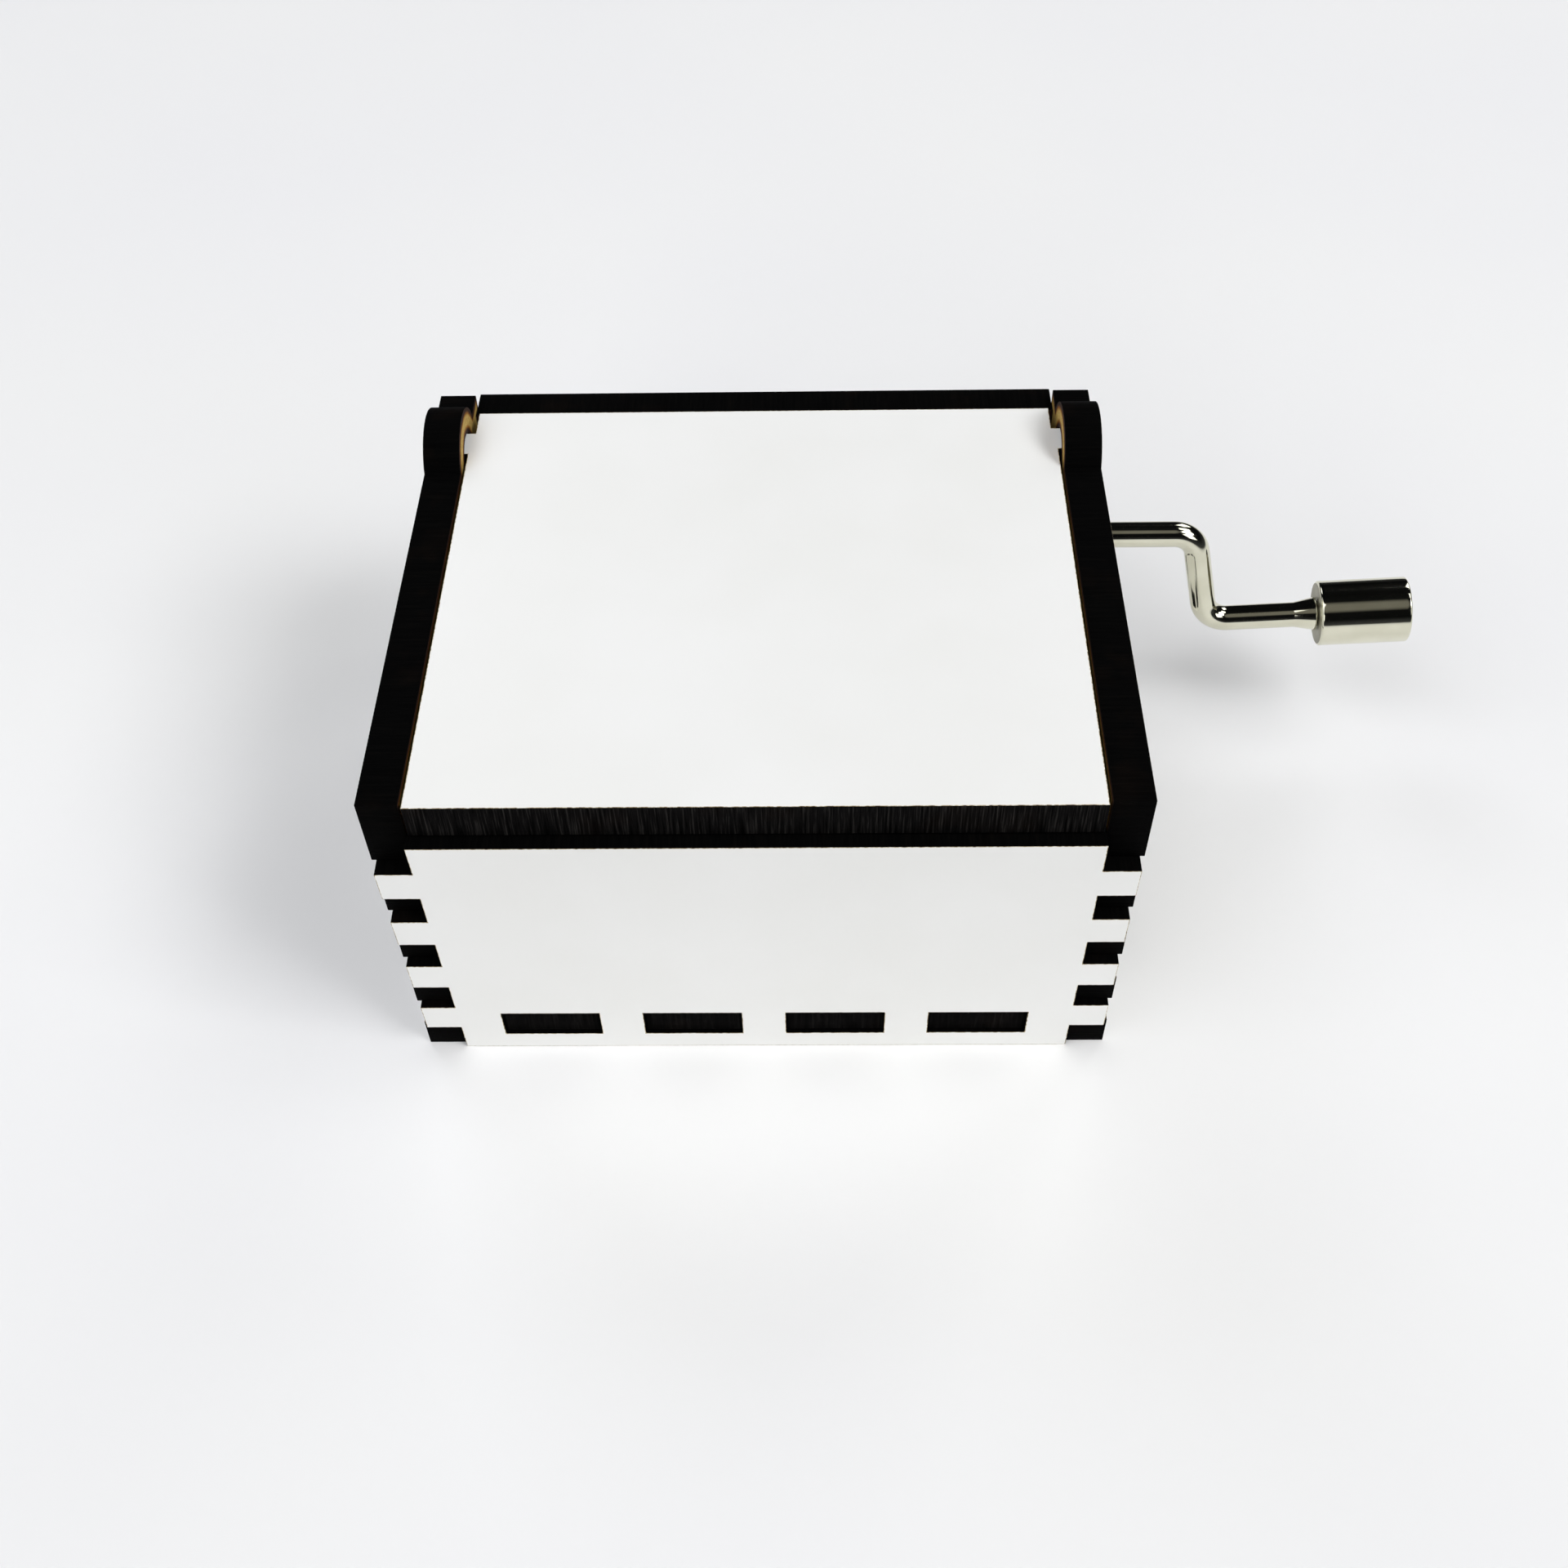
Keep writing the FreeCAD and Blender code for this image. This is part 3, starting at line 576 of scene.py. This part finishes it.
def knob_sleeve():
    bore = WIRE_RADIUS + KNOB_PLAY
    recess = RIVET_RADIUS + KNOB_PLAY
    seat = KNOB_LENGTH - RIVET_INSET - RIVET_THICKNESS - KNOB_END_PLAY
    shape = bmesh.new()
    turned(shape, [
        (0, bore),
        (0, KNOB_RADIUS - KNOB_CHAMFER),
        (KNOB_CHAMFER, KNOB_RADIUS),
        (KNOB_CHAMFER + HOLD * 2, KNOB_RADIUS),
        (KNOB_LENGTH - KNOB_CHAMFER - HOLD * 2, KNOB_RADIUS),
        (KNOB_LENGTH - KNOB_CHAMFER, KNOB_RADIUS),
        (KNOB_LENGTH, KNOB_RADIUS - KNOB_CHAMFER),
        (KNOB_LENGTH, recess),
        (seat, recess),
        (seat, bore),
    ], KNOB_SIDES)
    soften(shape, KNOB_ARRIS)
    shape.normal_update()
    for face in shape.faces:
        face.material_index = int(abs(face.normal.z) > BROAD)
    spin = Vector((0, 0, 1)).rotation_difference(knob_axis).to_matrix().to_4x4()
    bmesh.ops.transform(shape, matrix=Matrix.Translation(knob_start) @ spin, verts=shape.verts)
    return publish(shape, "knob_sleeve", "crank_knob", [nickel, darker_end_nickel])


knob = knob_sleeve()
print(knob.name, len(knob.data.polygons), "faces")

# %% [markdown]
# ## Metals of the movement
# Under the lid are cast zinc, stamped and ground steel, lead and turned brass. Each is a metal with a grain
# that tells how it was made: stretched along the grinding, round the lathe's axis, or even on a casting. One
# function makes them all from a colour, a range of roughness and a grain with a size in each direction.

# %% Movement metals
METAL_DEPTH = 0.03 * MM


def worked_metal(name, dark, pale, rough, grain, relief):
    """Metal whose grain has its own size in millimetres along each axis."""
    material, tree, place = start_material(name)
    scale = [1 / (size * MM) for size in grain]
    along = add_node(tree, "ShaderNodeMapping", {"Vector": place, "Scale": scale})
    lines = add_node(tree, "ShaderNodeTexNoise", {
        "Vector": along.outputs["Vector"], "Scale": 1.0, "Detail": 4.0, "Roughness": 0.6,
    })
    colour = add_node(tree, "ShaderNodeValToRGB", {"Fac": lines.outputs["Fac"]}, stops=[
        (0.3, dark), (0.7, pale),
    ])
    gloss = add_node(tree, "ShaderNodeMapRange", {
        "Value": lines.outputs["Fac"], "To Min": rough[0], "To Max": rough[1],
    })
    bump = add_node(tree, "ShaderNodeBump", {
        "Height": lines.outputs["Fac"], "Strength": relief, "Distance": METAL_DEPTH,
    })
    close_material(
        tree, Base_Color=colour.outputs["Color"], Roughness=gloss.outputs["Result"],
        Normal=bump.outputs["Normal"], Metallic=1.0,
    )
    return material


zinc = worked_metal("die_cast_zinc", "#83868A", "#A9ABAD", (0.42, 0.62), (0.3, 0.3, 0.3), 0.35)
plate_steel = worked_metal("zinc_plated_steel", "#A9A9A6", "#C6C6C2", (0.28, 0.42), (0.15, 0.15, 2.5), 0.15)
screw_steel = worked_metal("turned_screw_steel", "#B0AFAB", "#CFCDC8", (0.2, 0.32), (0.12, 0.12, 0.6), 0.12)
comb_steel = worked_metal("ground_spring_steel", "#A6A7AA", "#C8C9CB", (0.22, 0.36), (3.0, 0.1, 0.1), 0.15)
lead = worked_metal("cast_lead", "#55585D", "#74777C", (0.5, 0.7), (0.25, 0.25, 0.25), 0.3)
drum_brass = worked_metal("turned_brass_y", "#B98C42", "#D9B067", (0.2, 0.34), (2.0, 0.09, 2.0), 0.14)
bush_brass = worked_metal("turned_brass_x", "#B98C42", "#D9B067", (0.2, 0.34), (0.09, 2.0, 2.0), 0.14)
wheel_brass = worked_metal("hobbed_brass", "#AC8140", "#CDA45C", (0.24, 0.38), (0.2, 0.12, 0.2), 0.15)
shaft_steel = worked_metal("ground_shaft_steel_x", "#9C9C9C", "#C2C2C0", (0.16, 0.28), (0.08, 2.0, 2.0), 0.1)
arbor_steel = worked_metal("ground_shaft_steel_y", "#9C9C9C", "#C2C2C0", (0.16, 0.28), (2.0, 0.08, 2.0), 0.1)
print("made", zinc.name, "to", arbor_steel.name)

# %% [markdown]
# ## The movement
# The hidden pieces keep their CAD shape. A copy with slightly broken edges catches the light as real
# stampings and castings do. Each piece has its metal and the width of its broken edges in millimetres. The
# pinned cylinder and the gears keep their sharp teeth and pins, and only get smooth shading.

# %% Movement pieces
MOVEMENT = {
    "movement_base": (zinc, 0.25),
    "base_screws": (screw_steel, 0.12),
    "comb": (comb_steel, 0.05),
    "comb_leads": (lead, 0.08),
    "comb_screws": (screw_steel, 0.12),
    "cylinder_drum": (drum_brass, 0),
    "drum_front_cap": (drum_brass, 0.1),
    "drum_rear_cap": (drum_brass, 0.1),
    "cylinder_arbor": (arbor_steel, 0),
    "worm_wheel": (wheel_brass, 0),
    "front_bearing_plate": (plate_steel, 0.12),
    "rear_bearing_plate": (plate_steel, 0.12),
    "left_worm_post": (plate_steel, 0.12),
    "right_worm_post": (plate_steel, 0.12),
    "left_worm_bush": (bush_brass, 0.08),
    "right_worm_bush": (bush_brass, 0.08),
    "worm_shaft": (shaft_steel, 0),
}

for node, (metal, broken_edge) in MOVEMENT.items():
    shape = merged_copy(node)
    if broken_edge:
        soften(shape, broken_edge * MM)
    piece = publish(shape, f"{node}_finished", node, [metal])
    print(piece.name, len(piece.data.polygons), "faces")

# %% [markdown]
# ## Floor
# A pale sheet under the box. It is the stage, not a part of the object. Well outside the picture its colour is
# painted down to a dim grey, a painted shade, so the polished knob shows the sheet as a white band with the dark
# room above it.

# %% Floor
SHEET_SIZE = 6.0
SHEET_MIDDLE = Vector((-15, 75, 0)) * MM
SHEET_PALE = 0.18
SHEET_DIM = 0.6
PAINTED_SHADE_SHARE = 0.06
SHEET_CLOUD = 90 * MM


def sheet_with_painted_shade():
    material, tree, place = start_material("matt_sheet_with_painted_shade")
    cloud = add_node(tree, "ShaderNodeTexNoise", {"Vector": place, "Scale": 1 / SHEET_CLOUD, "Detail": 2.0})
    colour = add_node(tree, "ShaderNodeValToRGB", {"Fac": cloud.outputs["Fac"]}, stops=[
        (0.3, "#F2F2F3"), (0.7, "#F5F5F4"),
    ])
    # Painted shade: the sheet's colour falls from pale to a dim grey with distance from its middle.
    reach = add_node(tree, "ShaderNodeVectorMath", {0: place, 1: SHEET_MIDDLE}, operation="DISTANCE")
    painted_shade_fall = add_node(tree, "ShaderNodeMapRange", {
        "Value": reach.outputs["Value"], "From Min": SHEET_PALE, "From Max": SHEET_DIM,
        "To Min": 1.0, "To Max": PAINTED_SHADE_SHARE,
    })
    shade = add_node(tree, "ShaderNodeVectorMath", {
        0: colour.outputs["Color"], "Scale": painted_shade_fall.outputs["Result"],
    }, operation="SCALE")
    close_material(tree, Base_Color=shade.outputs["Vector"], Roughness=0.8, Specular_IOR_Level=0.2)
    return material


sheet = bmesh.new()
bmesh.ops.create_grid(sheet, x_segments=1, y_segments=1, size=SHEET_SIZE / 2)
floor_mesh = bpy.data.meshes.new("floor")
sheet.to_mesh(floor_mesh)
sheet.free()
floor_mesh.materials.append(sheet_with_painted_shade())
floor = bpy.data.objects.new("floor", floor_mesh)
bpy.context.scene.collection.objects.link(floor)
print("floor", SHEET_SIZE, "m wide")

# %% [markdown]
# ## Light
# The photograph has soft light from several sides. A softbox at the right throws the shadows of the box and
# of the crank, a larger one at the left and panels in front soften them, and fills at the back light the lid.
# Each lamp has a direction, a width and height in metres, a power in watts and a colour. The lamps keep clear
# of the strip of the room that the knob mirrors. The room is dim, a little paler low on its walls and with a
# faint glow on the ceiling, so the polished metal shows black and grey beside the white of the sheet.

# %% Lamps and world
LAMP_DISTANCE = 3.0
LAMPS = {
    "right_softbox": ((0.61, -0.29, 0.73), (1.2, 1.2), 41, "#FFFFFF"),
    "left_softbox": ((-0.62, -0.35, 0.70), (2.4, 2.4), 35, "#FAFBFF"),
    "front_left_panel": ((-0.30, -0.86, 0.42), (1.2, 1.2), 14, "#FFFFFF"),
    "front_right_panel": ((0.61, -0.61, 0.50), (1.2, 1.2), 10, "#FFFFFF"),
    "right_rear_fill": ((0.45, 0.66, 0.60), (1.0, 1.4), 10.5, "#FFFFFF"),
    "left_rear_fill": ((-0.40, 0.68, 0.60), (1.4, 1.4), 17, "#F6F9FF"),
    "top_panel": ((-0.25, -0.30, 0.92), (1.2, 1.2), 7, "#FFFFFF"),
    "top_right_panel": ((0.52, 0.08, 0.85), (0.8, 1.4), 8, "#FFFFFF"),
}

for name, (direction, size, power, code) in LAMPS.items():
    lamp = bpy.data.lights.new(name, "AREA")
    lamp.shape = "RECTANGLE"
    lamp.size, lamp.size_y = size
    lamp.energy = power
    lamp.color = linear(code)[:3]
    holder = bpy.data.objects.new(name, lamp)
    towards = Vector(direction).normalized()
    holder.location = towards * LAMP_DISTANCE
    holder.rotation_euler = towards.to_track_quat("Z", "Y").to_euler()
    bpy.context.scene.collection.objects.link(holder)
    print(name, power, "W")

CEILING_GLOW = Vector((0.02, -0.47, 0.883))
world = bpy.data.worlds.new("studio")
bpy.context.scene.world = world
world.use_nodes = True
sky = world.node_tree
sky.nodes.clear()
way = add_node(sky, "ShaderNodeTexCoord").outputs["Generated"]
height = add_node(sky, "ShaderNodeSeparateXYZ", {"Vector": way}).outputs["Z"]
walls = add_node(sky, "ShaderNodeValToRGB", {"Fac": height}, stops=[(0.0, "#3C3D3F"), (0.3, "#0A0B0C")])
overhead = add_node(sky, "ShaderNodeVectorMath", {0: way, 1: CEILING_GLOW}, operation="DOT_PRODUCT")
ceiling = add_node(sky, "ShaderNodeValToRGB", {"Fac": overhead.outputs["Value"]}, stops=[
    (0.94, "#000000"), (0.985, "#75736C"),
])
room = add_node(sky, "ShaderNodeMix", {
    0: 1.0, 6: walls.outputs["Color"], 7: ceiling.outputs["Color"],
}, data_type="RGBA", blend_type="ADD")
glow = add_node(sky, "ShaderNodeBackground", {"Color": room.outputs[2], "Strength": 1.0})
add_node(sky, "ShaderNodeOutputWorld", {"Surface": glow.outputs["Background"]})
bpy.context.scene.view_settings.view_transform = "Standard"
print("world set")
